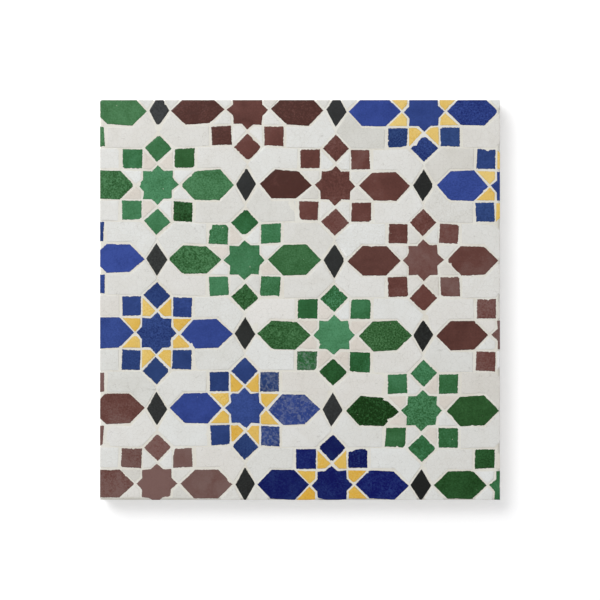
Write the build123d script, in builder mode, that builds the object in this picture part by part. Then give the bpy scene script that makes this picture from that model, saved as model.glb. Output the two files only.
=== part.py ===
"""A hand-laid zellij mosaic panel: glazed clay chips, face up, cast into a bed of mortar.

Millimetres. The panel lies flat with its glazed faces up: +Z is up, X runs along the
courses of stars and Y across them. The origin is at the centre of the underside.

The pattern is a lattice of eight-pointed stars. Every chip is drawn on the joint lines
that it shares with its neighbours, and then cut back by half a joint all round.
"""

from build123d import *
from math import cos, pi, sin, sqrt
import os

# Panel and bed
PANEL_LENGTH = 400.0  # along the courses, X
PANEL_WIDTH = 400.0  # across the courses, Y
CHIP_THICKNESS = 11.0  # from the glazed face to the cut end in the mortar
FACE_STAND = 0.5  # how far the glazed faces stand above the mortar joints
BED_UNDER_CHIPS = 13.0  # mortar below the chips

# Pattern, measured on the joint lines
STAR_REACH = 21.9  # centre of a star to its eight points
HEXAGON_LENGTH = 55.4  # point to point, along the course
DIAMOND_LENGTH = 22.4  # point to point, along the course
DIAMOND_TIP_GAP = 3.6  # joint between a diamond's upper or lower point and the square there
PATTERN_SHIFT_X = -54.5  # a green star stands here from the panel's centre
PATTERN_SHIFT_Y = 40.1

# How the chips are cut and laid
JOINT_WIDTH = 2.2  # between two glazed faces
UNDERCUT = 8.0  # degrees that a chip's sides lean in under its face
ARRIS = 0.3  # how far the edges of a glazed face are rubbed off
SMALLEST_FACE = 12.0  # square millimetres: a smaller offcut at the edge is left to mortar

# What follows from them
PANEL_THICKNESS = BED_UNDER_CHIPS + CHIP_THICKNESS
BED_TOP = PANEL_THICKNESS - FACE_STAND
STAR_SIDE = STAR_REACH / sqrt(2)  # centre of a star to the flat sides of its two squares
STAR_NOTCH = STAR_REACH * cos(pi / 4) / cos(pi / 8)  # centre of a star to its eight notches
HALF_COURSE = STAR_REACH + STAR_SIDE  # centre of a star to the line between two courses
COURSE_PITCH = 2 * HALF_COURSE
STAR_PITCH = 2 * STAR_REACH + 2 * HEXAGON_LENGTH + DIAMOND_LENGTH
HEXAGON_SHOULDER = HEXAGON_LENGTH / 2 - STAR_SIDE
DIAMOND_TIP = STAR_REACH - DIAMOND_TIP_GAP

GLAZES = ("green", "brown", "blue")  # the order in which they follow one another in a course


def course_stars(glaze=None):
    """Centres of the stars of one glaze, or of all, on a lattice that covers the panel."""
    columns = int(PANEL_LENGTH / STAR_PITCH) + 2
    courses = int(PANEL_WIDTH / COURSE_PITCH) + 2
    centres = []
    for course in range(-courses, courses + 1):
        for column in range(-columns, columns + 1):
            stagger = STAR_PITCH / 2 * (course % 2)
            turn = (column + (course + 1) // 2) % len(GLAZES)
            if glaze is None or GLAZES[turn] == glaze:
                x = PATTERN_SHIFT_X + STAR_PITCH * column + stagger
                y = PATTERN_SHIFT_Y + COURSE_PITCH * course
                centres.append((x, y))
    return centres


def places(centres, radius, angles, turn=0.0):
    """Locations at one radius round each centre, turned with the angle that they stand at."""
    found = []
    for x, y in centres:
        for angle in angles:
            reach_x = radius * cos(angle * pi / 180)
            reach_y = radius * sin(angle * pi / 180)
            found.append(Location((x + reach_x, y + reach_y, 0), (0, 0, angle + turn)))
    return found


def cut_chip(*corners):
    """One chip from its corners on the joint lines: cut back by half a joint all round, its
    sides leaning in under the face as the hammer leaves them, and its upper edges rubbed."""
    face_plane = Plane.XY.offset(PANEL_THICKNESS)
    with BuildPart() as chip:
        with BuildSketch(face_plane):
            with BuildLine():
                Polyline(*corners, close=True)
            make_face()
            offset(amount=-JOINT_WIDTH / 2, kind=Kind.INTERSECTION, mode=Mode.REPLACE)
        extrude(amount=-CHIP_THICKNESS)
        sides = chip.faces().filter_by(Axis.Z, reverse=True)
        draft(sides, face_plane, -UNDERCUT)
        chamfer(chip.edges().group_by(Axis.Z)[-1], length=ARRIS)
    return chip.part


def on_panel(location, reach):
    """Whether a chip of this reach from its location comes over the panel at all."""
    over_length = abs(location.position.X) < PANEL_LENGTH / 2 + reach
    over_width = abs(location.position.Y) < PANEL_WIDTH / 2 + reach
    return over_length and over_width


def lay(name, chips, locations):
    """Chips at their places, sawn off at the panel's edges, without the smallest offcuts."""
    with BuildPart() as laid:
        for chip in chips:
            size = chip.bounding_box().size
            reach = max(size.X, size.Y)
            kept = [location for location in locations if on_panel(location, reach)]
            with Locations(*kept):
                add(chip)
        Box(PANEL_LENGTH, PANEL_WIDTH, 2 * PANEL_THICKNESS, mode=Mode.INTERSECT)
        for piece in laid.solids():
            if piece.faces().sort_by(Axis.Z)[-1].area < SMALLEST_FACE:
                add(piece, mode=Mode.SUBTRACT)
    laid.part.label = name
    export_step(laid.part, f"parts/{name}.step")
    return laid.part


# A star: eight points on one circle and eight notches between them
star_corners = []
for point in range(8):
    tip = point * pi / 4
    notch = tip + pi / 8
    star_corners.append((STAR_REACH * cos(tip), STAR_REACH * sin(tip)))
    star_corners.append((STAR_NOTCH * cos(notch), STAR_NOTCH * sin(notch)))
star_chip = cut_chip(*star_corners)

# A kite fills the notch between two points of a star. It is drawn about the star's centre,
# with its length along the line through the notch, out to the corner of a square.
kite_half = STAR_REACH * sin(pi / 8)
kite_waist = STAR_REACH * cos(pi / 8)
kite_tip = sqrt(STAR_SIDE**2 + HALF_COURSE**2)
kite_chip = cut_chip(
    (STAR_NOTCH, 0),
    (kite_waist, -kite_half),
    (kite_tip, 0),
    (kite_waist, kite_half),
)

# A square, for the four diagonals of a star and, on its point, for above and below it
square_half = STAR_REACH / 2
square_chip = cut_chip(
    (-square_half, -square_half),
    (square_half, -square_half),
    (square_half, square_half),
    (-square_half, square_half),
)

# A long hexagon lies to each side of a star, point to point with it
hexagon_chip = cut_chip(
    (-HEXAGON_LENGTH / 2, 0),
    (-HEXAGON_SHOULDER, -STAR_SIDE),
    (HEXAGON_SHOULDER, -STAR_SIDE),
    (HEXAGON_LENGTH / 2, 0),
    (HEXAGON_SHOULDER, STAR_SIDE),
    (-HEXAGON_SHOULDER, STAR_SIDE),
)

# A diamond stands between the hexagons of two neighbouring stars
diamond_chip = cut_chip(
    (-DIAMOND_LENGTH / 2, 0),
    (0, -DIAMOND_TIP),
    (DIAMOND_LENGTH / 2, 0),
    (0, DIAMOND_TIP),
)

# A ground chip fills one quarter of the white field round a diamond: along the hexagon, up
# the corner square, back along the line between two courses and down past the tip square
ground_chip = cut_chip(
    (DIAMOND_LENGTH / 2, 0),
    (DIAMOND_LENGTH / 2 + STAR_SIDE, STAR_SIDE),
    (DIAMOND_LENGTH / 2 + HEXAGON_LENGTH - STAR_SIDE, STAR_SIDE),
    (DIAMOND_LENGTH / 2 + HEXAGON_LENGTH - STAR_SIDE, HALF_COURSE),
    (STAR_SIDE, HALF_COURSE),
    (0, STAR_REACH),
    (0, DIAMOND_TIP),
)

# Where the chips lie round a star: angles in degrees from the course, and how far out
KITE_ANGLES = [22.5 + 45 * kite for kite in range(8)]
CORNER_ANGLES = [45, 135, 225, 315]
corner_reach = (STAR_SIDE + square_half) * sqrt(2)
hexagon_reach = STAR_REACH + HEXAGON_LENGTH / 2
SQUARE_TURN = 45  # from the line through the star to the square's side

os.makedirs("parts", exist_ok=True)
chips = []
for glaze in GLAZES:
    stars = course_stars(glaze)
    hexagons = places(stars, hexagon_reach, [0, 180])
    corner_squares = places(stars, corner_reach, CORNER_ANGLES, SQUARE_TURN)
    tip_squares = places(stars, HALF_COURSE, [90, 270], SQUARE_TURN)
    chips.append(lay(f"stars_{glaze}", [star_chip], places(stars, 0, [0])))
    chips.append(lay(f"hexagons_{glaze}", [hexagon_chip], hexagons))
    chips.append(lay(f"corner_squares_{glaze}", [square_chip], corner_squares))
    chips.append(lay(f"tip_squares_{glaze}", [square_chip], tip_squares))

white_flowers = course_stars("green") + course_stars("brown")
chips.append(lay("kites_white", [kite_chip], places(white_flowers, 0, KITE_ANGLES)))
chips.append(lay("kites_yellow", [kite_chip], places(course_stars("blue"), 0, KITE_ANGLES)))

diamonds = [(x + STAR_PITCH / 2, y) for x, y in course_stars()]
chips.append(lay("diamonds_black", [diamond_chip], places(diamonds, 0, [0])))
quarters = [ground_chip, ground_chip.mirror(Plane.YZ)]
chips.append(lay("ground_chips_white", quarters, places(diamonds, 0, [0, 180])))

# The mortar: one slab, cast round the chips, with its joints a little below their faces
with BuildPart() as mortar_bed:
    Box(
        PANEL_LENGTH,
        PANEL_WIDTH,
        BED_TOP,
        align=(Align.CENTER, Align.CENTER, Align.MIN),
    )
    add(chips, mode=Mode.SUBTRACT)
mortar_bed.part.label = "mortar_bed"
export_step(mortar_bed.part, "parts/mortar_bed.step")
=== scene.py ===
import bpy
import numpy as np
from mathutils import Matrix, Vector


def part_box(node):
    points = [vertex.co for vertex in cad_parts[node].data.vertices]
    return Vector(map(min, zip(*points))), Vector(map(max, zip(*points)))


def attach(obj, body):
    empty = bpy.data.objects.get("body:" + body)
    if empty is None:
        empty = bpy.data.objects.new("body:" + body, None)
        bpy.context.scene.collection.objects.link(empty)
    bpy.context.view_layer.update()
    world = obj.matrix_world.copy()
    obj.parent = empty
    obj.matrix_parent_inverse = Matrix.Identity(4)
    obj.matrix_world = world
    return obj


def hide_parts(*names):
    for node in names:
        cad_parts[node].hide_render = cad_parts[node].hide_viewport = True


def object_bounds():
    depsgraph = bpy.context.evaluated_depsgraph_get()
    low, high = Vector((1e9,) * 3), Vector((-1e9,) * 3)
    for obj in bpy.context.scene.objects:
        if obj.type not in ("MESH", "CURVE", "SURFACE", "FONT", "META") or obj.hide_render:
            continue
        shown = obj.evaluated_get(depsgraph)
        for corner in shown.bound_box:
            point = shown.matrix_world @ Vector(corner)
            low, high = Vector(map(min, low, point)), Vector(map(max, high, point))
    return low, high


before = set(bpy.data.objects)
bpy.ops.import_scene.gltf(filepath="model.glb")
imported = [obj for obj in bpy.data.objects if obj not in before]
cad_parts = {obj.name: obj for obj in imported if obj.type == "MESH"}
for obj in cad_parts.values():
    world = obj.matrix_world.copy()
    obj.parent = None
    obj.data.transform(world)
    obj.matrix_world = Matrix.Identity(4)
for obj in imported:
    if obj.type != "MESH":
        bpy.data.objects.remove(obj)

cad_box = [list(corner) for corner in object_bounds()]

# The room: a white floor, a broad soft window up to the left and a sky that is bright at the
# horizon and dim overhead, so that glaze seen from above keeps its depth of colour. The
# camera looks straight down on the panel through a long lens.
FLOOR_SIZE = 8.0
FLOOR_DROP = 0.0001
FLOOR_WHITE = (0.80, 0.80, 0.80, 1.0)
FLOOR_LIFT = 0.34  # brings the floor to white for the eye, and sends no light to the panel
VIEW_WIDTH = 0.600  # what the picture spans at the glazed faces
CAMERA_HEIGHT = 2.4
WINDOW_PLACE = (-1.6, 1.9, 2.6)
WINDOW_SIZE = 2.6
WINDOW_POWER = 112.0
SKY_OVERHEAD = (0.12, 0.12, 0.125, 1.0)
SKY_HORIZON = (1.27, 1.27, 1.29, 1.0)


def shader_node(tree, kind, wires=None, **settings):
    """One shader node with its settings; each input is wired from a socket or set to a value."""
    made = tree.nodes.new("ShaderNode" + kind)
    for name, value in settings.items():
        setattr(made, name, value)
    for name, value in (wires or {}).items():
        if isinstance(value, bpy.types.NodeSocket):
            tree.links.new(value, made.inputs[name])
        else:
            made.inputs[name].default_value = value
    return made


def maths(tree, operation, first, second=0.0):
    """A sum, product or the like of two values; returns the output socket."""
    return shader_node(tree, "Math", {0: first, 1: second}, operation=operation).outputs[0]


def blend(tree, share, first, second, how="MIX"):
    """A colour between two, by a share from 0 to 1; returns the output socket."""
    wires = {0: share, 6: first, 7: second}
    return shader_node(tree, "Mix", wires, data_type="RGBA", blend_type=how).outputs[2]


def blank_material(name):
    """A material with an empty tree, and its output node."""
    material = bpy.data.materials.new(name)
    material.use_nodes = True
    material.node_tree.nodes.clear()
    output = shader_node(material.node_tree, "OutputMaterial")
    return material, material.node_tree, output


def surface(name, points, quads, triangles, smooth=True):
    """A mesh from whole arrays of points, four-sided faces and three-sided faces; smooth is
    said for all its faces, or for each in that order."""
    mesh = bpy.data.meshes.new(name)
    mesh.vertices.add(len(points))
    mesh.vertices.foreach_set("co", points.astype(np.float32).ravel())
    corners = np.concatenate([quads.ravel(), triangles.ravel()]).astype(np.int32)
    mesh.loops.add(len(corners))
    mesh.loops.foreach_set("vertex_index", corners)
    quad_starts = np.arange(len(quads)) * 4
    triangle_starts = len(quads) * 4 + np.arange(len(triangles)) * 3
    starts = np.concatenate([quad_starts, triangle_starts]).astype(np.int32)
    mesh.polygons.add(len(starts))
    mesh.polygons.foreach_set("loop_start", starts)
    mesh.polygons.foreach_set("use_smooth", np.ones(len(starts), dtype=bool) & smooth)
    mesh.update(calc_edges=True)
    piece = bpy.data.objects.new(name, mesh)
    bpy.context.scene.collection.objects.link(piece)
    return piece


floor_points = np.array([[-1, -1], [1, -1], [1, 1], [-1, 1]]) * FLOOR_SIZE / 2
floor_points = np.column_stack([floor_points, np.full(4, -FLOOR_DROP)])
floor = surface("floor", floor_points, np.array([[0, 1, 2, 3]]), np.zeros((0, 3), int))
floor_paint, tree, output = blank_material("floor_white")
matt = shader_node(tree, "BsdfDiffuse", {"Color": FLOOR_WHITE})
ray = shader_node(tree, "LightPath").outputs
seen = maths(tree, "MAXIMUM", ray["Is Camera Ray"], ray["Is Glossy Ray"])
seen = maths(tree, "MAXIMUM", seen, ray["Is Transmission Ray"])
lifted = shader_node(tree, "Emission", {"Strength": maths(tree, "MULTIPLY", seen, FLOOR_LIFT)})
white_floor = shader_node(tree, "AddShader", {0: matt.outputs[0], 1: lifted.outputs[0]})
clear = shader_node(tree, "BsdfTransparent")
under = shader_node(tree, "NewGeometry").outputs["Backfacing"]
one_sided = shader_node(
    tree, "MixShader", {0: under, 1: white_floor.outputs[0], 2: clear.outputs[0]}
)
tree.links.new(one_sided.outputs[0], output.inputs["Surface"])
floor.data.materials.append(floor_paint)

world = bpy.data.worlds.new("sky")
world.use_nodes = True
bpy.context.scene.world = world
tree = world.node_tree
tree.nodes.clear()
toward = shader_node(tree, "TexCoord").outputs["Generated"]
toward_up = shader_node(tree, "SeparateXYZ", {0: toward}).outputs["Z"]
sky = blend(tree, maths(tree, "ABSOLUTE", toward_up), SKY_HORIZON, SKY_OVERHEAD)
glow = shader_node(tree, "Background", {"Color": sky, "Strength": 1.0})
shader_node(tree, "OutputWorld", {"Surface": glow.outputs[0]})

window = bpy.data.lights.new("window", "AREA")
window.shape = "SQUARE"
window.size = WINDOW_SIZE
window.energy = WINDOW_POWER
window_lamp = bpy.data.objects.new("window", window)
window_lamp.location = WINDOW_PLACE
window_lamp.rotation_euler = Vector(WINDOW_PLACE).to_track_quat("Z", "Y").to_euler()
bpy.context.scene.collection.objects.link(window_lamp)

lens = bpy.data.cameras.new("camera")
lens.lens = lens.sensor_width * CAMERA_HEIGHT / VIEW_WIDTH
camera = bpy.data.objects.new("camera", lens)
camera.location = (0.0, 0.0, cad_box[1][2] + CAMERA_HEIGHT)
bpy.context.scene.collection.objects.link(camera)
bpy.context.scene.camera = camera
bpy.context.scene.view_settings.view_transform = "Standard"

# The mortar bed: one slab of off-white lime and cement mortar, cast over the backs of the
# chips and struck off flat below. Its joints were filled and wiped almost flush with the
# glazed faces, and its sides are sawn.
BED_HALF = cad_box[1][0]
BED_SIDE_WEAR = 0.0003  # the sawn mortar lies this far behind the sawn chips
BED_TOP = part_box("mortar_bed")[1][2]
BED_STEPS = 140
BED_SIDE_STEPS = 8
JOINT_FILL = 0.00028  # the wiped joints stand this far over the struck bed
JOINT_UNEVEN = 0.00008
UNDERSIDE_UNEVEN = 0.0005
SAWN_UNEVEN = 0.0006
SAME_LEVEL = 1e-6
WAVE_HEIGHTS = 256  # random heights along each way before they repeat
WAVE_OFFSET = 1000.0  # cells, so that none of the panel's has a negative number
MORTAR_CREAM = (0.655, 0.63, 0.555, 1.0)
MORTAR_PALE = (0.70, 0.69, 0.63, 1.0)
MORTAR_SAND = (0.50, 0.45, 0.37, 1.0)


def wander(x, y, cell, seed):
    """Seeded unevenness from -1 to 1: random heights at the corners of square cells, blended
    between them by the smooth step t * t * (3 - 2t) along x and along y."""
    heights = np.random.default_rng(seed).uniform(-1, 1, (WAVE_HEIGHTS, WAVE_HEIGHTS))
    u, v = np.asarray(x) / cell + WAVE_OFFSET, np.asarray(y) / cell + WAVE_OFFSET
    i, j = np.floor(u).astype(int), np.floor(v).astype(int)
    s, t = u - i, v - j
    s, t = s * s * (3 - 2 * s), t * t * (3 - 2 * t)
    i, j = i % WAVE_HEIGHTS, j % WAVE_HEIGHTS
    next_i, next_j = (i + 1) % WAVE_HEIGHTS, (j + 1) % WAVE_HEIGHTS
    near = heights[i, j] * (1 - s) + heights[next_i, j] * s
    far = heights[i, next_j] * (1 - s) + heights[next_i, next_j] * s
    return near * (1 - t) + far * t


def slab(half, low, high, steps, side_steps):
    """A closed slab as one grid wrapped round it: rings of a square from the middle of the
    top out to its edge, down the sides, and in again to the middle of the underside. Each
    ring is walked round by a point that keeps to the square's four sides."""
    outward = np.linspace(0, 1, steps // 2 + 1)[1:]
    reach = half * np.concatenate([outward, np.ones(side_steps - 1), outward[::-1]])
    top, underside = np.full(steps // 2, high), np.full(steps // 2, low)
    down = np.linspace(high, low, side_steps + 1)[1:-1]
    level = np.concatenate([top, down, underside])
    side = np.linspace(-1, 1, steps + 1)[:-1]
    edge = np.ones(steps)
    x = reach[:, None] * np.concatenate([side, edge, -side, -edge])
    y = reach[:, None] * np.concatenate([-edge, side, edge, -side])
    z = np.broadcast_to(level[:, None], x.shape)
    return np.stack([x, y, z], axis=-1)


def skin(rings):
    """Points and faces of a closed skin from rings of points, joined row to row and round,
    with one point closing the first ring and one the last."""
    rows, columns = rings.shape[:2]
    points = np.concatenate(
        [rings.reshape(-1, 3), rings[:1].mean(axis=1), rings[-1:].mean(axis=1)]
    )
    index = np.arange(rows * columns).reshape(rows, columns)
    after = np.roll(index, -1, axis=1)
    quads = np.stack([index[:-1], index[1:], after[1:], after[:-1]], axis=-1).reshape(-1, 4)
    first = np.full(columns, rows * columns)
    top = np.stack([first, index[0], after[0]], axis=-1)
    bottom = np.stack([first + 1, after[-1], index[-1]], axis=-1)
    return points, quads, np.concatenate([top, bottom])


joint_top = BED_TOP + JOINT_FILL
bed_rings = slab(BED_HALF - BED_SIDE_WEAR, 0.0, joint_top, BED_STEPS, BED_SIDE_STEPS)
x, y, z = bed_rings[..., 0], bed_rings[..., 1], bed_rings[..., 2]
on_top, on_underside = z > joint_top - SAME_LEVEL, z < SAME_LEVEL
on_side = ~on_top & ~on_underside
# Wide waves and narrower ones, each with its share, the size of its cells and its own seed
joint_wave = wander(x, y, 0.009, 1) + 0.5 * wander(x, y, 0.004, 2)
under_wave = 0.7 * wander(x, y, 0.045, 3) + 0.3 * wander(x, y, 0.009, 4)
saw_wave = 0.5 + 0.3 * wander(x + y, z, 0.004, 5) + 0.2 * wander(x - y, z, 0.0011, 6)
bed_rings[..., 2] += np.where(on_top, JOINT_UNEVEN * joint_wave, 0.0)
bed_rings[..., 2] += np.where(on_underside, UNDERSIDE_UNEVEN * np.clip(under_wave, 0, 1), 0.0)
bed_rings[..., :2] *= 1 - np.where(on_side, SAWN_UNEVEN * saw_wave / BED_HALF, 0.0)[..., None]
bed = surface("mortar_bed_cast", *skin(bed_rings))


def remap(tree, value, low=0.0, high=1.0, to_low=0.0, to_high=1.0, **settings):
    """A value stretched from one range to another and held in it; returns the output socket."""
    wires = {0: value, "From Min": low, "From Max": high, "To Min": to_low, "To Max": to_high}
    return shader_node(tree, "MapRange", wires, **settings).outputs[0]


def noise(tree, place, scale, detail=2.0, roughness=0.5, distortion=0.0):
    """Soft noise at a place, about 0.5; returns the node's outputs."""
    wires = {
        "Vector": place,
        "Scale": scale,
        "Detail": detail,
        "Roughness": roughness,
        "Distortion": distortion,
    }
    return shader_node(tree, "TexNoise", wires).outputs


def shader_group(name, taken, given_back):
    """An empty shader group that takes a place and named values and gives back named values:
    the group, the sockets that it is given and the sockets that it fills."""
    group = bpy.data.node_groups.new(name, "ShaderNodeTree")
    group.interface.new_socket("Place", in_out="INPUT", socket_type="NodeSocketVector")
    for value in taken:
        group.interface.new_socket(value, in_out="INPUT", socket_type="NodeSocketFloat")
    for value in given_back:
        group.interface.new_socket(value, in_out="OUTPUT", socket_type="NodeSocketFloat")
    given = group.nodes.new("NodeGroupInput").outputs
    filled = group.nodes.new("NodeGroupOutput").inputs
    return group, given, filled


def place_group(tree, group, wires):
    """A shader group set into a material with its own inputs; returns its outputs."""
    return shader_node(tree, "Group", wires, node_tree=group).outputs


# A shader group that the mortar and the bare clay share: scattered grains of sand, as a mask
# of darker grains and a height for the bump.
sand_grain, given, filled = shader_group(
    "sand_grain", ["Grains per metre"], ["Grains", "Height"]
)
cells = shader_node(
    sand_grain,
    "TexVoronoi",
    {"Vector": given["Place"], "Scale": given["Grains per metre"]},
).outputs
cell_pick = shader_node(sand_grain, "SeparateColor", {0: cells["Color"]}).outputs[0]
picked = remap(sand_grain, cell_pick, 0.80, 0.84)
blob = remap(sand_grain, cells["Distance"], 0.42, 0.25)
grains = maths(sand_grain, "MULTIPLY", picked, blob)
rough = noise(sand_grain, given["Place"], given["Grains per metre"], detail=5.0, roughness=0.65)
sand_grain.links.new(grains, filled["Grains"])
sand_grain.links.new(maths(sand_grain, "ADD", rough["Fac"], grains), filled["Height"])

mortar, tree, output = blank_material("mortar")
where = shader_node(tree, "TexCoord").outputs["Object"]
grain = place_group(tree, sand_grain, {"Place": where, "Grains per metre": 900.0})
clouds = noise(tree, where, 45.0, detail=4.0)["Fac"]
tint = blend(tree, remap(tree, clouds, 0.35, 0.65), MORTAR_CREAM, MORTAR_PALE)
tint = blend(tree, maths(tree, "MULTIPLY", grain["Grains"], 0.4), tint, MORTAR_SAND)
relief = shader_node(
    tree, "Bump", {"Height": grain["Height"], "Distance": 0.00025, "Strength": 0.6}
)
body = shader_node(
    tree,
    "BsdfPrincipled",
    {"Base Color": tint, "Roughness": 0.88, "Normal": relief.outputs["Normal"]},
)
tree.links.new(body.outputs[0], output.inputs["Surface"])
bed.data.materials.append(mortar)
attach(bed, "root")
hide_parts("mortar_bed")

# The star chips: eight-pointed, cut by hammer from glazed squares of pale clay, so their
# sides lean in under the face, their edges are nibbled and their glaze has flaked here and
# there. One star of each flower, in green, brown or blue.
FACE_LEVEL = cad_box[1][2]
CHIP_THICKNESS = 0.011
JOINT_WIDTH = 0.0022
STAR_REACH = 0.0219
STAR_SIDE = STAR_REACH / np.sqrt(2)
STAR_NOTCH = STAR_REACH * np.cos(np.pi / 4) / np.cos(np.pi / 8)
HALF_COURSE = STAR_REACH + STAR_SIDE
HEXAGON_LENGTH = 0.0554
DIAMOND_LENGTH = 0.0224
STAR_PITCH = 2 * STAR_REACH + 2 * HEXAGON_LENGTH + DIAMOND_LENGTH
PATTERN_SHIFT = np.array([-0.0545, 0.0401])
GLAZES = ("green", "brown", "blue")
SMALLEST_FACE = 12e-6  # square metres: smaller offcuts at the edge are mortar
UNDERCUT = np.tan(np.radians(8.0))

# How unevenly a hand lays the courses, in metres but for the turn, which is in radians, and
# the two seeds of the slow wander, across and up, that lie nearest to the real courses
COURSE_TURN = 0.0058
COURSE_WANDER = 0.0016
WANDER_CELL = 0.075
WANDER_SEEDS = (2362, 1389)

# How unevenly it cuts and sets the chips of one kind: metres off their place, degrees that
# they are turned, metres that their corners stray, the depth of the nibbling along their
# sides, and the share of their corners that are clipped
STAR_HAND = dict(shift=0.00030, turn=1.4, stray=0.00050, nibble=0.00022, clipped=0.06)
STAR_JOINT = 0.0017  # the hand leaves less round a star than the drawn joint

# The same for every chip: how far its face leans, lies deep and falls off from its middle
LEAN = 0.00007
SUNK = 0.00006
CROWN = 0.00008
OUTLINE_STEP = 0.0009
CORNER_BREAK = 0.00012  # off each side of every corner
CLIPPED_CUT = (0.0006, 0.0024)
NIBBLE_LENGTH = 0.0022  # the shortest of the nibbled waves
NIBBLE_OUTWARD = 0.3  # the share of a nibble's depth that it may stand out
NIP_SPACING = 0.040
NIP_HALF_WIDTH = (0.0008, 0.0020)
NIP_DEPTH = 0.0010
LEAST_FACE, LEAST_SIDE = 0.3, 0.2  # how much of a ring's reach bites and undercut leave
SEEN_DEPTH, SEEN_STEP, SEEN_TRIES = 0.0004, 0.0006, 40
ON_SAW = 1e-7  # a point this near the panel's edge lies on the saw cut

# Rings of a chip: in from its outline and down from its face, then down its side
RING_IN = np.array([0.0026, 0.0008, 0.0002, 0.0])
RING_DOWN = np.array([0.0, 0.00001, 0.00006, 0.00014])
SIDE_DOWN = np.array([0.0006, CHIP_THICKNESS - 0.0003])

# Chips that the fire marked: where they lie, how far round, and the tone of the darker ones
OVERFIRED = np.array(
    [
        [0.071, -0.111, 0.012, 0.95],
        [-0.119, 0.087, 0.010, 0.72],
        [0.034, -0.071, 0.008, 0.72],
        [0.007, -0.008, 0.008, 0.55],
        [0.034, -0.184, 0.060, 0.90],
    ]
)
# Rippled chips: where they lie and how far round. Their orange peel is strong, and pale streaks of
# painted sheen, a painted reflection, lie over their colour.
RIPPLED = np.array(
    [
        [-0.007, -0.109, 0.014],
        [-0.033, -0.082, 0.010],
        [-0.033, -0.136, 0.010],
        [0.008, -0.062, 0.010],
    ]
)
RIPPLE_OF_OTHERS = 0.7
PATTERN_APART = 3.0  # metres by which a chip's pattern may be shifted from the place's own
TONE_SPREAD = 0.12
TONE_SEEDS, CAST_SEEDS = 100, 200  # what is added to a piece's own seed for these


def star_places(glaze=None):
    """Centres of the stars of one glaze, or of all, on their staggered lattice: column i and
    course j stand at i pitches along, half a pitch more in every second course, and j courses
    up. The glazes follow one another by columns, stepping one on every second course."""
    course, column = np.mgrid[-6:7, -5:6]
    stagger = STAR_PITCH / 2 * (course % 2)
    turn = (column + (course + 1) // 2) % len(GLAZES)
    centres = np.stack([STAR_PITCH * column + stagger, 2 * HALF_COURSE * course], axis=-1)
    centres = (centres + PATTERN_SHIFT).reshape(-1, 2)
    if glaze is None:
        return centres
    return centres[turn.ravel() == GLAZES.index(glaze)]


def around(centres, angles, corners):
    """Outlines of chips turned by each angle about each centre, as one array."""
    angles = np.radians(np.atleast_1d(angles))
    cosine, sine = np.cos(angles), np.sin(angles)
    turned_x = cosine[:, None] * corners[:, 0] - sine[:, None] * corners[:, 1]
    turned_y = sine[:, None] * corners[:, 0] + cosine[:, None] * corners[:, 1]
    turned = np.stack([turned_x, turned_y], axis=-1)
    return (centres[:, None, None] + turned).reshape(-1, *corners.shape)


def hand_laid(outlines):
    """The outlines drifted from the drawn lattice as the mason laid them: turned by a small
    angle a, so that x grows by a * y and y falls by a * x, and wandering slowly."""
    x, y = outlines[..., 0], outlines[..., 1]
    along = COURSE_TURN * y + COURSE_WANDER * wander(x, y, WANDER_CELL, WANDER_SEEDS[0])
    up = -COURSE_TURN * x + COURSE_WANDER * wander(x, y, WANDER_CELL, WANDER_SEEDS[1])
    return outlines + np.stack([along, up], axis=-1)


def cut_back(corners, depths):
    """An outline with each side moved in by its own depth. Where two sides meet, with inward
    normals n and m, depths d and e and c = n.m, the corner moves by
    ((d - e c) n + (e - d c) m) / (1 - c c)."""
    sides = np.roll(corners, -1, axis=0) - corners
    inward = np.stack([-sides[:, 1], sides[:, 0]], axis=1)
    inward /= np.linalg.norm(inward, axis=1, keepdims=True)
    before, depths_before = np.roll(inward, 1, axis=0), np.roll(depths, 1)
    cosine = (before * inward).sum(axis=1)
    along_before = (depths_before - depths * cosine) / (1 - cosine**2)
    along_after = (depths - depths_before * cosine) / (1 - cosine**2)
    return corners + along_before[:, None] * before + along_after[:, None] * inward


def blunted(corners, cuts):
    """Each corner replaced by two points, that far back along the two sides that meet there."""
    toward = np.roll(corners, -1, axis=0) - corners
    toward /= np.linalg.norm(toward, axis=1, keepdims=True)
    back = corners - np.roll(toward, 1, axis=0) * cuts[:, None]
    on = corners + toward * cuts[:, None]
    return np.stack([back, on], axis=1).reshape(-1, 2)


def sawn(corners, half):
    """An outline cut off by the panel's four sides, one after the other."""
    for axis, sign in ((0, 1), (0, -1), (1, 1), (1, -1)):
        over = sign * corners[:, axis] - half
        if len(corners) < 3 or (over > 0).all():
            return np.zeros((0, 2))
        after, over_after = np.roll(corners, -1, axis=0), np.roll(over, -1)
        crosses = (over <= 0) != (over_after <= 0)
        share = np.where(crosses, over / np.where(crosses, over - over_after, 1.0), 0.0)
        crossing = corners + (after - corners) * share[:, None]
        both = np.stack([corners, crossing], axis=1).reshape(-1, 2)
        corners = both[np.stack([over <= 0, crosses], axis=1).ravel()]
    return corners


def middle_of(corners):
    """Area and centre of an outline, from the cross products of its corners."""
    after = np.roll(corners, -1, axis=0)
    cross = corners[:, 0] * after[:, 1] - after[:, 0] * corners[:, 1]
    area = cross.sum() / 2
    return area, ((corners + after) * cross[:, None]).sum(axis=0) / (6 * area)


def walk_round(corners, step):
    """Points along an outline at about even steps, its corners among them."""
    walked = []
    for start, end in zip(corners, np.roll(corners, -1, axis=0)):
        count = max(1, int(round(np.linalg.norm(end - start) / step)))
        walked.append(start + (end - start) * np.linspace(0, 1, count, endpoint=False)[:, None])
    return np.concatenate(walked)


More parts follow.
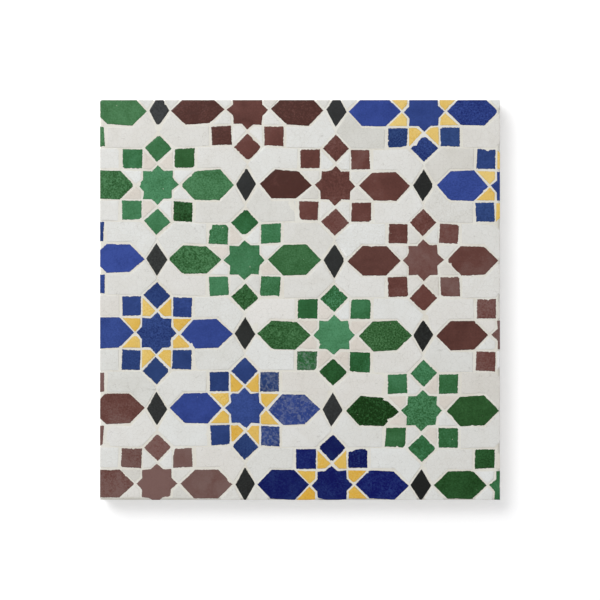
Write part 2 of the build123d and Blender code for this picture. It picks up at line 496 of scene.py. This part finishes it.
def seen_from(corners):
    """A point that sees every side of an outline: its centre, stepped back over the line of
    the side that it lies farthest behind, and a little further, till it lies behind none."""
    point = middle_of(corners)[1]
    sides = np.roll(corners, -1, axis=0) - corners
    length = np.linalg.norm(sides, axis=1)
    real = length > ON_SAW
    corners, sides, length = corners[real], sides[real], length[real]
    inward = np.stack([-sides[:, 1], sides[:, 0]], axis=1) / length[:, None]
    for _ in range(SEEN_TRIES):
        depth = ((point - corners) * inward).sum(axis=1)
        worst = depth.argmin()
        if depth[worst] > SEEN_DEPTH:
            break
        point = point + (SEEN_STEP - depth[worst]) * inward[worst]
    return point


def set_by_hand(outline, middle, hand, random):
    """An outline with its corners astray, turned about its middle and shifted off its place,
    every corner broken and some of them clipped."""
    turn = np.radians(random.uniform(-hand["turn"], hand["turn"]))
    turned = np.array([[np.cos(turn), np.sin(turn)], [-np.sin(turn), np.cos(turn)]])
    strayed = outline + random.uniform(-hand["stray"], hand["stray"], outline.shape)
    shift = random.uniform(-hand["shift"], hand["shift"], 2)
    strayed = (strayed - middle) @ turned + middle + shift
    clipped = random.uniform(0, 1, len(outline)) < hand["clipped"]
    cuts = CORNER_BREAK + clipped * random.uniform(*CLIPPED_CUT, len(outline))
    return blunted(strayed, cuts)


def bites(outline, nibble, random):
    """How deep the hammer bit at each point of an outline: a sum of sines of chance phase, and
    nips of depth d * (1 - (s / w)^2) at the distance s along the outline from their spot."""
    count = len(outline)
    along = np.arange(count) / count
    perimeter = np.linalg.norm(np.roll(outline, -1, axis=0) - outline, axis=1).sum()
    waves = np.arange(3, max(5, int(perimeter / NIBBLE_LENGTH)))
    phases = random.uniform(0, 2 * np.pi, len(waves))
    swing = np.sin(2 * np.pi * waves * along[:, None] + phases).sum(axis=1)
    nibbled = nibble * np.clip(swing / np.sqrt(len(waves)), -NIBBLE_OUTWARD, None)
    nips = max(1, int(perimeter / NIP_SPACING))
    spot = random.uniform(0, 1, nips)
    wide = random.uniform(*NIP_HALF_WIDTH, nips) / perimeter
    deep = NIP_DEPTH * random.uniform(0, 1, nips) ** 2
    gap = np.abs((along[:, None] - spot + 0.5) % 1 - 0.5)
    return nibbled + (deep * np.clip(1 - (gap / wide) ** 2, 0, None)).sum(axis=1)


def hand_cut(corners, depths, hand, step, random):
    """One chip's rings of points and their distances in from the glaze's edge, or None where
    it is off the panel or too small. Its outline is cut back by half a joint, set by hand,
    sawn off at the panel's edge and bitten along its other sides, and each ring is drawn in
    from it toward a point that sees all of it."""
    true_outline = cut_back(corners, depths)
    on_panel = sawn(true_outline, BED_HALF)
    if len(on_panel) < 3:
        return None
    area, middle = middle_of(on_panel)
    if area < SMALLEST_FACE:
        return None
    cut_off = sawn(set_by_hand(true_outline, middle, hand, random), BED_HALF)
    if len(cut_off) < 3:
        return None
    middle = seen_from(cut_off)
    outline = walk_round(cut_off, step)
    bite = bites(outline, hand["nibble"], random)

    on_saw = (np.abs(outline) > BED_HALF - ON_SAW).any(axis=1)
    arm = outline - middle
    reach = np.linalg.norm(arm, axis=1)
    toward = arm / reach[:, None]
    face_reach = np.where(on_saw, reach, np.maximum(reach - bite, LEAST_FACE * reach))
    undercut = np.where(on_saw, 0.0, UNDERCUT)
    scale = min(1.0, face_reach.min() / (2 * RING_IN[0]))
    inner = np.maximum(face_reach - RING_IN[0] * scale, 0)
    face_rings = face_reach - RING_IN[:, None] * scale
    side_rings = face_reach - undercut * SIDE_DOWN[:, None]
    side_rings = np.maximum(side_rings, LEAST_SIDE * face_reach)
    rings = np.concatenate([0.5 * inner[None], face_rings, side_rings, 0.5 * side_rings[-1:]])
    flat = np.clip(middle + rings[..., None] * toward, -BED_HALF, BED_HALF)

    lean_way = random.uniform(0, 2 * np.pi)
    slope = LEAN / face_reach.max() * np.array([np.cos(lean_way), np.sin(lean_way)])
    lean = ((flat - middle) * slope).sum(axis=-1)
    crown = -CROWN * (rings / face_reach.max()) ** 2
    down = np.concatenate([[0], RING_DOWN, SIDE_DOWN, [CHIP_THICKNESS]])
    level = lean + crown - down[:, None]
    level += FACE_LEVEL - random.uniform(0, SUNK) - level.max()
    level = np.maximum(level, FACE_LEVEL - CHIP_THICKNESS)
    edge = np.concatenate(
        [
            (face_reach - 0.5 * inner)[None],
            np.broadcast_to(RING_IN[:, None] * scale, face_rings.shape),
            np.broadcast_to(-SIDE_DOWN[:, None], side_rings.shape),
            np.full((1, len(outline)), -CHIP_THICKNESS),
        ]
    )
    return np.concatenate([flat, level[..., None]], axis=-1), edge


def within(outlines, spots):
    """Which chips have their middle inside one of the round spots x, y, radius."""
    away = outlines.mean(axis=1)[:, None] - spots[:, :2]
    return (np.linalg.norm(away, axis=2) < spots[:, 2]).any(axis=1)


def chip_tones(outlines, usual, across, up, seed):
    """How dark each chip's glaze is, 0 to 1: the usual tone, what it gains per metre across and up
    the panel, and the kiln's chance. The overfired ones have their own."""
    random = np.random.default_rng(seed)
    tone = usual + outlines.mean(axis=1) @ [across, up]
    tone = tone + random.normal(0, TONE_SPREAD, len(outlines))
    for spot in OVERFIRED:
        tone = np.where(within(outlines, spot[None]), spot[3], tone)
    return np.clip(tone, 0, 1)


def chance(outlines, middle, spread, seed):
    """A share from 0 to 1 for each chip, by chance about a middle value."""
    drawn = np.random.default_rng(seed).normal(middle, spread, len(outlines))
    return np.clip(drawn, 0, 1)


def lay_chips(
    name, glaze_name, outlines, tone, cast, hand, seed, depths=JOINT_WIDTH / 2, step=OUTLINE_STEP
):
    """All the chips of one node as one piece, with what the glaze reads at each point: the
    distance in from the glaze's edge in millimetres, the firing (tone, mottle and ripple),
    the cast of its colour, and a shift that sets its pattern apart from its neighbour's."""
    random = np.random.default_rng(seed)
    depths = np.broadcast_to(depths, outlines.shape[:2])
    ripple = random.uniform(0, RIPPLE_OF_OTHERS, len(outlines)) ** 3
    ripple = np.where(within(outlines, RIPPLED), 1.0, ripple)
    mottle = random.uniform(0, 1, len(outlines)) ** 2
    firing = np.stack([tone, mottle, ripple], axis=1)
    laid, base = [], 0
    for chip, corners in enumerate(hand_laid(outlines)):
        cut = hand_cut(corners, depths[chip], hand, step, random)
        if cut is None:
            continue
        rings, edge = cut
        points, quads, triangles = skin(rings)
        count = len(points)
        edges = np.concatenate([edge.ravel(), edge[:1].max(axis=1), edge[-1:].mean(axis=1)])
        casts = np.full(count, cast[chip])
        firings = np.broadcast_to(firing[chip], (count, 3))
        shift = random.uniform(-PATTERN_APART, PATTERN_APART, 3)
        shifts = np.broadcast_to(shift, (count, 3))
        laid.append((points, quads + base, triangles + base, edges, casts, firings, shifts))
        base += count
    points, quads, triangles, edges, casts, firings, shifts = (
        np.concatenate(part) for part in zip(*laid)
    )
    on_saw = (np.abs(points[:, :2]) > BED_HALF - ON_SAW).any(axis=1)
    smooth = ~np.concatenate([on_saw[quads].all(axis=1), on_saw[triangles].all(axis=1)])
    piece = surface(name + "_glazed", points, quads, triangles, smooth)
    for mark, kind, key, values in (
        ("edge_mm", "FLOAT", "value", 1000 * edges),
        ("cast", "FLOAT", "value", casts),
        ("firing", "FLOAT_VECTOR", "vector", firings),
        ("pattern_shift", "FLOAT_VECTOR", "vector", shifts),
    ):
        written = piece.data.attributes.new(mark, kind, "POINT")
        written.data.foreach_set(key, values.astype(np.float32).ravel())
    piece.data.materials.append(glazes[glaze_name])
    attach(piece, "root")
    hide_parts(name)


# Shader groups that every glaze shares. Flaked edge and rim shade: where the glaze has come off
# along a chip's edge and down its sides, and a band along the rim where the colour is darkened
# as painted shade of the rounded edge. The edge and the reach of the flaking are in millimetres.
flaked_edge_and_rim_shade, given, filled = shader_group("flaked_edge_and_rim_shade", ["Edge", "Reach"], ["Bare", "Painted rim shade"])
ragged = noise(flaked_edge_and_rim_shade, given["Place"], 480.0, detail=4.0, roughness=0.6)["Fac"]
patchy = noise(flaked_edge_and_rim_shade, given["Place"], 70.0)["Fac"]
reach = maths(
    flaked_edge_and_rim_shade,
    "MULTIPLY",
    remap(flaked_edge_and_rim_shade, ragged, 0.40, 0.72, to_low=0.1),
    remap(flaked_edge_and_rim_shade, patchy, 0.48, 0.72, to_low=0.35, to_high=2.2),
)
reach = maths(flaked_edge_and_rim_shade, "MULTIPLY", reach, given["Reach"])
left = maths(flaked_edge_and_rim_shade, "SUBTRACT", reach, given["Edge"])
# Painted shade: a band along the rim, darkest at the edge, in place of the shade of the rounded
# arris
painted_rim_shade = remap(flaked_edge_and_rim_shade, given["Edge"], 1.3, 0.2, interpolation_type="SMOOTHSTEP")
flaked_edge_and_rim_shade.links.new(remap(flaked_edge_and_rim_shade, left, high=0.10), filled["Bare"])
flaked_edge_and_rim_shade.links.new(painted_rim_shade, filled["Painted rim shade"])

# Pits: pinholes in the glaze, where the clay shows, in a small share of all places. The
# lower a pit's own number is under that share, the wider the pit.
PIT_SIZE = 5.5
glaze_pits, given, filled = shader_group("glaze_pits", ["Pits per metre", "Share"], ["Mask"])
cells = shader_node(
    glaze_pits,
    "TexVoronoi",
    {"Vector": given["Place"], "Scale": given["Pits per metre"]},
).outputs
cell_pick = shader_node(glaze_pits, "SeparateColor", {0: cells["Color"]}).outputs[0]
size = maths(glaze_pits, "SUBTRACT", given["Share"], cell_pick)
size = maths(glaze_pits, "MULTIPLY", size, PIT_SIZE)
inside = maths(glaze_pits, "SUBTRACT", size, cells["Distance"])
glaze_pits.links.new(remap(glaze_pits, inside, high=0.06), filled["Mask"])

# Kiln mottle: how much deeper or paler the glaze came out from place to place on a chip,
# as wide clouds and a fine grain, which is strongest on the mottled chips.
kiln_mottle, given, filled = shader_group(
    "kiln_mottle", ["Mottle", "Clouds", "Grain"], ["Shift"]
)
wide = noise(kiln_mottle, given["Place"], 55.0, detail=3.0, distortion=0.6)["Fac"]
wide = maths(kiln_mottle, "SUBTRACT", wide, 0.5)
wide = maths(kiln_mottle, "MULTIPLY", wide, given["Clouds"])
fine = noise(kiln_mottle, given["Place"], 620.0, detail=3.0, roughness=0.7)["Fac"]
fine = maths(kiln_mottle, "SUBTRACT", fine, 0.5)
grain_share = maths(kiln_mottle, "ADD", given["Mottle"], 0.25)
grain_share = maths(kiln_mottle, "MULTIPLY", grain_share, given["Grain"])
fine = maths(kiln_mottle, "MULTIPLY", fine, grain_share)
kiln_mottle.links.new(maths(kiln_mottle, "ADD", wide, fine), filled["Shift"])

# Glaze skin and sheen: the height of the fired surface, with an orange peel that grows strong on
# the rippled chips, pale streaks between their ripples that are painted sheen, a painted
# reflection laid into the colour, and the hairline net of crackle that old glaze has.
glaze_skin_and_sheen, given, filled = shader_group(
    "glaze_skin_and_sheen", ["Ripple"], ["Height", "Crackle", "Painted sheen"]
)
peel = noise(glaze_skin_and_sheen, given["Place"], 200.0, detail=1.0)["Fac"]
strength = remap(glaze_skin_and_sheen, given["Ripple"], to_low=0.10, to_high=0.55)
# Painted sheen: where the pale streaks of painted reflection lie, strongest on the rippled chips
sheen_streaks = noise(glaze_skin_and_sheen, given["Place"], 320.0, detail=4.0, distortion=0.8)["Fac"]
sheen_streak = remap(glaze_skin_and_sheen, sheen_streaks, 0.44, 0.74)
painted_sheen_share = remap(glaze_skin_and_sheen, given["Ripple"], low=0.25, to_high=0.30)
bent = noise(glaze_skin_and_sheen, given["Place"], 160.0)["Color"]
bend = shader_node(glaze_skin_and_sheen, "VectorMath", {0: bent, "Scale": 0.004}, operation="SCALE")
bent_place = shader_node(
    glaze_skin_and_sheen, "VectorMath", {0: given["Place"], 1: bend.outputs[0]}, operation="ADD"
)
net = shader_node(
    glaze_skin_and_sheen,
    "TexVoronoi",
    {"Vector": bent_place.outputs[0], "Scale": 230.0},
    feature="DISTANCE_TO_EDGE",
).outputs["Distance"]
glaze_skin_and_sheen.links.new(maths(glaze_skin_and_sheen, "MULTIPLY", peel, strength), filled["Height"])
glaze_skin_and_sheen.links.new(remap(glaze_skin_and_sheen, net, 0.022, 0.008), filled["Crackle"])
glaze_skin_and_sheen.links.new(maths(glaze_skin_and_sheen, "MULTIPLY", sheen_streak, painted_sheen_share), filled["Painted sheen"])

CLAY_PALE = (0.72, 0.66, 0.57, 1.0)
CLAY_ROSE = (0.60, 0.49, 0.40, 1.0)
# Painted sheen: the pale grey of the streaks of painted reflection on rippled glaze
PAINTED_SHEEN = (0.42, 0.45, 0.47, 1.0)
# Painted shade: the colour that darkens each chip's rim
RIM_PAINTED_SHADE = (0.30, 0.28, 0.26, 1.0)
CRACKLE_SHADE = (0.25, 0.22, 0.18, 1.0)


def linear(red, green, blue):
    """A colour given as it looks, 0 to 255, as the light that it sends back, 0 to 1."""
    seen = np.array([red, green, blue]) / 255.0
    light = np.where(seen > 0.04045, ((seen + 0.055) / 1.055) ** 2.4, seen / 12.92)
    return (*light.tolist(), 1.0)


def glaze(name, pale, deep, burnt, cast, clouds, grain, painted_rim_shade, flake, pits, gloss, crackle):
    """A glaze over pale clay. It runs from pale through deep to burnt with a chip's tone and
    with the mottle of the firing, is multiplied by its cast, is darkened along the rim by painted
    shade, carries pale streaks of painted sheen on the rippled chips, and is flaked, pitted and
    crackled. Colours are as they look; cast is a share of each light, flake is in millimetres,
    and the others are strengths and shares."""
    material, tree, output = blank_material("glaze_" + name)
    where = shader_node(tree, "TexCoord").outputs["Object"]
    shift = shader_node(tree, "Attribute", attribute_name="pattern_shift").outputs["Vector"]
    own = shader_node(tree, "VectorMath", {0: where, 1: shift}, operation="ADD").outputs[0]
    firing = shader_node(tree, "Attribute", attribute_name="firing").outputs["Vector"]
    tone, mottle, ripple = shader_node(tree, "SeparateXYZ", {0: firing}).outputs
    edge = shader_node(tree, "Attribute", attribute_name="edge_mm").outputs["Fac"]
    cast_share = shader_node(tree, "Attribute", attribute_name="cast").outputs["Fac"]

    mottling = {"Place": own, "Mottle": mottle, "Clouds": clouds, "Grain": grain}
    depth = maths(tree, "ADD", tone, place_group(tree, kiln_mottle, mottling)["Shift"])
    ramp = shader_node(tree, "ValToRGB", {0: depth})
    ramp.color_ramp.elements[0].color = linear(*pale)
    ramp.color_ramp.elements[1].color = linear(*burnt)
    ramp.color_ramp.elements.new(0.5).color = linear(*deep)
    colour = blend(tree, cast_share, ramp.outputs["Color"], (*cast, 1.0), "MULTIPLY")
    flaking_and_rim_shade = place_group(tree, flaked_edge_and_rim_shade, {"Place": own, "Edge": edge, "Reach": flake})
    # Painted shade: the colour is darkened along each chip's rim
    painted_rim_share = maths(tree, "MULTIPLY", flaking_and_rim_shade["Painted rim shade"], painted_rim_shade)
    colour = blend(tree, painted_rim_share, colour, RIM_PAINTED_SHADE, "MULTIPLY")
    skin_marks_and_sheen = place_group(tree, glaze_skin_and_sheen, {"Place": own, "Ripple": ripple})
    # Painted sheen: pale streaks of painted reflection blended into the colour of the rippled chips
    colour = blend(tree, skin_marks_and_sheen["Painted sheen"], colour, PAINTED_SHEEN)
    crackled = maths(tree, "MULTIPLY", skin_marks_and_sheen["Crackle"], crackle)
    colour = blend(tree, crackled, colour, CRACKLE_SHADE, "MULTIPLY")

    pitting = {"Place": own, "Pits per metre": 420.0, "Share": pits}
    pitting = place_group(tree, glaze_pits, pitting)
    lost = maths(tree, "MAXIMUM", flaking_and_rim_shade["Bare"], pitting["Mask"])
    sand = place_group(tree, sand_grain, {"Place": where, "Grains per metre": 1400.0})
    clay = blend(tree, sand["Grains"], CLAY_PALE, CLAY_ROSE)
    colour = blend(tree, lost, colour, clay)
    peel = shader_node(
        tree, "Bump", {"Height": skin_marks_and_sheen["Height"], "Distance": 0.0011, "Strength": 1.0}
    )
    sunken = shader_node(
        tree,
        "Bump",
        {
            "Height": lost,
            "Distance": 0.00025,
            "Strength": 0.8,
            "Normal": peel.outputs["Normal"],
        },
        invert=True,
    )
    body = shader_node(
        tree,
        "BsdfPrincipled",
        {
            "Base Color": colour,
            "Roughness": remap(tree, lost, to_low=gloss, to_high=0.85),
            "Normal": sunken.outputs["Normal"],
            "IOR": 1.5,
        },
    )
    tree.links.new(body.outputs[0], output.inputs["Surface"])
    return material


glazes = {
    "green": glaze(
        "green",
        pale=(78, 138, 98),
        deep=(44, 98, 56),
        burnt=(10, 54, 4),
        cast=(0.98, 0.76, 0.60),
        clouds=0.60,
        grain=2.4,
        painted_rim_shade=0.22,
        flake=0.35,
        pits=0.035,
        gloss=0.22,
        crackle=0.25,
    ),
    "brown": glaze(
        "brown",
        pale=(118, 88, 83),
        deep=(98, 57, 50),
        burnt=(72, 36, 29),
        cast=(0.84, 1.0, 1.0),
        clouds=0.95,
        grain=2.3,
        painted_rim_shade=0.22,
        flake=0.35,
        pits=0.022,
        gloss=0.30,
        crackle=0.2,
    ),
    "blue": glaze(
        "blue",
        pale=(56, 76, 150),
        deep=(36, 54, 118),
        burnt=(4, 12, 90),
        cast=(0.86, 1.0, 0.72),
        clouds=0.70,
        grain=2.2,
        painted_rim_shade=0.22,
        flake=0.35,
        pits=0.022,
        gloss=0.18,
        crackle=0.2,
    ),
}
# What each colour of glaze gains in tone per metre across and up the panel
TONE_TREND = {"green": (0.5, -0.5), "brown": (0.0, 1.5), "blue": (0.0, 0.0)}
STAR_TONE = {"green": 0.22, "brown": 0.30, "blue": 0.32}
STAR_CAST_SPREAD = 0.10
STAR_CAST = {"green": 0.12, "brown": 0.15, "blue": 0.50}

star_angles = np.arange(16) * np.pi / 8
star_radii = np.where(np.arange(16) % 2 == 0, STAR_REACH, STAR_NOTCH)
star = np.stack([star_radii * np.cos(star_angles), star_radii * np.sin(star_angles)], axis=1)
for seed, colour in enumerate(GLAZES, start=10):
    outlines = around(star_places(colour), 0.0, star)
    tone = chip_tones(outlines, STAR_TONE[colour], *TONE_TREND[colour], TONE_SEEDS + seed)
    cast = chance(outlines, STAR_CAST[colour], STAR_CAST_SPREAD, CAST_SEEDS + seed)
    lay_chips(
        "stars_" + colour, colour, outlines, tone, cast, STAR_HAND, seed, STAR_JOINT / 2
    )

# The long hexagons: one to each side of a star, point to point with it, of its colour. Cut
# from a narrow strip of tile, their long sides run a little out of true.
HEXAGON_SHOULDER = HEXAGON_LENGTH / 2 - STAR_SIDE
HEXAGON_HAND = dict(shift=0.00040, turn=1.3, stray=0.00085, nibble=0.00018, clipped=0.12)
HEXAGON_JOINT = 0.0016
HEXAGON_TONE = {"green": 0.48, "brown": 0.55, "blue": 0.22}
HEXAGON_CAST_SPREAD = 0.20
HEXAGON_CAST = {"green": 0.70, "brown": 0.35, "blue": 0.12}
hexagon = np.array(
    [
        [-HEXAGON_LENGTH / 2, 0],
        [-HEXAGON_SHOULDER, -STAR_SIDE],
        [HEXAGON_SHOULDER, -STAR_SIDE],
        [HEXAGON_LENGTH / 2, 0],
        [HEXAGON_SHOULDER, STAR_SIDE],
        [-HEXAGON_SHOULDER, STAR_SIDE],
    ]
)
hexagon_beside = hexagon + [STAR_REACH + HEXAGON_LENGTH / 2, 0]
for seed, colour in enumerate(GLAZES, start=20):
    outlines = around(star_places(colour), [0, 180], hexagon_beside)
    tone = chip_tones(outlines, HEXAGON_TONE[colour], *TONE_TREND[colour], TONE_SEEDS + seed)
    cast = chance(outlines, HEXAGON_CAST[colour], HEXAGON_CAST_SPREAD, CAST_SEEDS + seed)
    lay_chips(
        "hexagons_" + colour, colour, outlines, tone, cast, HEXAGON_HAND, seed, HEXAGON_JOINT / 2
    )

# The squares: four round a star, square to it, and two on their points above and below. The
# smallest chips are the roughest cut, and sit the most askew.
SQUARE_HALF = STAR_REACH / 2
SQUARE_GATHER = 0.0007  # how much nearer to its star, along the course, a corner square lies
SQUARE_HAND = dict(shift=0.00035, turn=2.8, stray=0.00040, nibble=0.00036, clipped=0.16)
SQUARE_TONE = {"green": 0.42, "brown": 0.32, "blue": 0.34}
SQUARE_CAST_SPREAD = 0.25
SQUARE_CAST = {"green": 0.32, "brown": 0.08, "blue": 0.75}
square = SQUARE_HALF * np.array([[-1, -1], [1, -1], [1, 1], [-1, 1]])
tip_square = np.array([[0, -1], [1, 0], [0, 1], [-1, 0]]) * STAR_SIDE + [0, HALF_COURSE]
corner_up = STAR_SIDE + SQUARE_HALF
corner_along = corner_up - SQUARE_GATHER
for number, colour in enumerate(GLAZES):
    stars_here = star_places(colour)
    at_corners = np.concatenate(
        [
            around(stars_here + [side * corner_along, row * corner_up], 0, square)
            for side in (-1, 1)
            for row in (-1, 1)
        ]
    )
    at_tips = around(stars_here, [0, 180], tip_square)
    for name, outlines, seed in (
        ("corner_squares_", at_corners, 30 + number),
        ("tip_squares_", at_tips, 40 + number),
    ):
        tone = chip_tones(outlines, SQUARE_TONE[colour], *TONE_TREND[colour], TONE_SEEDS + seed)
        cast = chance(outlines, SQUARE_CAST[colour], SQUARE_CAST_SPREAD, CAST_SEEDS + seed)
        lay_chips(name + colour, colour, outlines, tone, cast, SQUARE_HAND, seed)

# The kites: eight in the notches of each star, yellow round the blue ones and white round
# the green and brown ones. Round the green ones about every other white came out rosy.
KITE_HALF = STAR_REACH * np.sin(np.pi / 8)
KITE_WAIST = STAR_REACH * np.cos(np.pi / 8)
KITE_TIP = np.hypot(STAR_SIDE, HALF_COURSE)
KITE_HAND = dict(shift=0.00020, turn=1.2, stray=0.00030, nibble=0.00018, clipped=0.06)
KITE_JOINT = 0.0018
KITE_ANGLES = 22.5 + 45.0 * np.arange(8)
ROSY_SHARE = 0.55
ROSY_CAST, PLAIN_CAST = 0.91, 0.02
# The middle of what chance gives for a tone or a cast, and its spread
WHITE_TONE = (0.35, 0.15)
BROWN_SIDE_CAST = (0.22, 0.12)
YELLOW_TONE = (0.32, 0.10)
YELLOW_CAST = (0.2, 0.2)
YELLOW_TREND = -1.3  # what a yellow kite gains in tone per metre up the panel
kite = np.array([[STAR_NOTCH, 0], [KITE_WAIST, -KITE_HALF], [KITE_TIP, 0], [KITE_WAIST, KITE_HALF]])
glazes["yellow"] = glaze(
    "yellow",
    pale=(226, 198, 122),
    deep=(216, 177, 80),
    burnt=(214, 156, 28),
    cast=(0.96, 0.88, 0.74),
    clouds=0.55,
    grain=1.6,
    painted_rim_shade=0.15,
    flake=0.40,
    pits=0.02,
    gloss=0.25,
    crackle=0.25,
)
glazes["white"] = glaze(
    "white",
    pale=(224, 226, 224),
    deep=(214, 214, 209),
    burnt=(198, 197, 189),
    cast=(0.96, 0.88, 0.82),
    clouds=0.55,
    grain=1.0,
    painted_rim_shade=0.04,
    flake=0.30,
    pits=0.015,
    gloss=0.24,
    crackle=0.22,
)
near_green = around(star_places("green"), KITE_ANGLES, kite)
near_brown = around(star_places("brown"), KITE_ANGLES, kite)
outlines = np.concatenate([near_green, near_brown])
rosy = np.random.default_rng(CAST_SEEDS + 50).uniform(0, 1, len(near_green)) < ROSY_SHARE
cast = np.concatenate(
    [
        np.where(rosy, ROSY_CAST, PLAIN_CAST),
        chance(near_brown, *BROWN_SIDE_CAST, CAST_SEEDS + 51),
    ]
)
tone = chance(outlines, *WHITE_TONE, TONE_SEEDS + 50)
lay_chips("kites_white", "white", outlines, tone, cast, KITE_HAND, 50, KITE_JOINT / 2)
outlines = around(star_places("blue"), KITE_ANGLES, kite)
gained = YELLOW_TREND * outlines.mean(axis=1)[:, 1]
tone = np.clip(chance(outlines, *YELLOW_TONE, TONE_SEEDS + 51) + gained, 0, 1)
cast = chance(outlines, *YELLOW_CAST, CAST_SEEDS + 52)
lay_chips("kites_yellow", "yellow", outlines, tone, cast, KITE_HAND, 51, KITE_JOINT / 2)

# The black diamonds: one between the hexagons of two neighbouring stars, drawn short of the
# squares above and below it, and the darker the farther to the right and down it lies.
DIAMOND_TIP = STAR_REACH - 0.0036
DIAMOND_HAND = dict(shift=0.00040, turn=2.0, stray=0.00065, nibble=0.00016, clipped=0.12)
DIAMOND_JOINT = 0.0014
DIAMOND_TONE = 0.45
DIAMOND_TREND = (1.2, -0.6)
DIAMOND_CAST = (0.4, 0.3)  # the middle of what chance gives, and its spread
diamond = np.array(
    [[-DIAMOND_LENGTH / 2, 0], [0, -DIAMOND_TIP], [DIAMOND_LENGTH / 2, 0], [0, DIAMOND_TIP]]
)
glazes["black"] = glaze(
    "black",
    pale=(58, 60, 61),
    deep=(30, 31, 30),
    burnt=(6, 6, 6),
    cast=(0.95, 1.0, 0.90),
    clouds=0.3,
    grain=2.2,
    painted_rim_shade=0.22,
    flake=0.35,
    pits=0.02,
    gloss=0.28,
    crackle=0.2,
)
between = star_places() + [STAR_PITCH / 2, 0]
outlines = around(between, 0.0, diamond)
tone = chip_tones(outlines, DIAMOND_TONE, *DIAMOND_TREND, TONE_SEEDS + 60)
cast = chance(outlines, *DIAMOND_CAST, CAST_SEEDS + 60)
lay_chips("diamonds_black", "black", outlines, tone, cast, DIAMOND_HAND, 60, DIAMOND_JOINT / 2)

# The ground: four white chips round each diamond, in two shapes that mirror each other. They
# butt against one another with hairline joints, and keep the full joint to a coloured chip.
GROUND_HAND = dict(shift=0.00018, turn=0.3, stray=0.00030, nibble=0.00012, clipped=0.05)
GROUND_STEP = 0.0014
GROUND_HAIRLINE = 0.0011
GROUND_TONE = (0.38, 0.14)
GROUND_CAST = (0.14, 0.12)
GROUND_END = DIAMOND_LENGTH / 2 + HEXAGON_LENGTH - STAR_SIDE
ground = np.array(
    [
        [DIAMOND_LENGTH / 2, 0],
        [DIAMOND_LENGTH / 2 + STAR_SIDE, STAR_SIDE],
        [GROUND_END, STAR_SIDE],
        [GROUND_END, HALF_COURSE],
        [STAR_SIDE, HALF_COURSE],
        [0, STAR_REACH],
        [0, DIAMOND_TIP],
    ]
)
# The hairlines: along the line between two courses, and between a diamond and a square's tip
ground_joints = np.full(len(ground), JOINT_WIDTH / 2)
ground_joints[[3, 5]] = GROUND_HAIRLINE / 2
mirrored_joints = ground_joints[[5, 4, 3, 2, 1, 0, 6]]  # its sides run the other way round
plain = around(between, [0, 180], ground)
mirrored = around(between, [0, 180], ground[::-1] * [-1, 1])
outlines = np.concatenate([plain, mirrored])
depths = np.repeat([ground_joints, mirrored_joints], len(plain), axis=0)
tone = chance(outlines, *GROUND_TONE, TONE_SEEDS + 70)
cast = chance(outlines, *GROUND_CAST, CAST_SEEDS + 70)
lay_chips(
    "ground_chips_white", "white", outlines, tone, cast, GROUND_HAND, 70, depths, GROUND_STEP
)
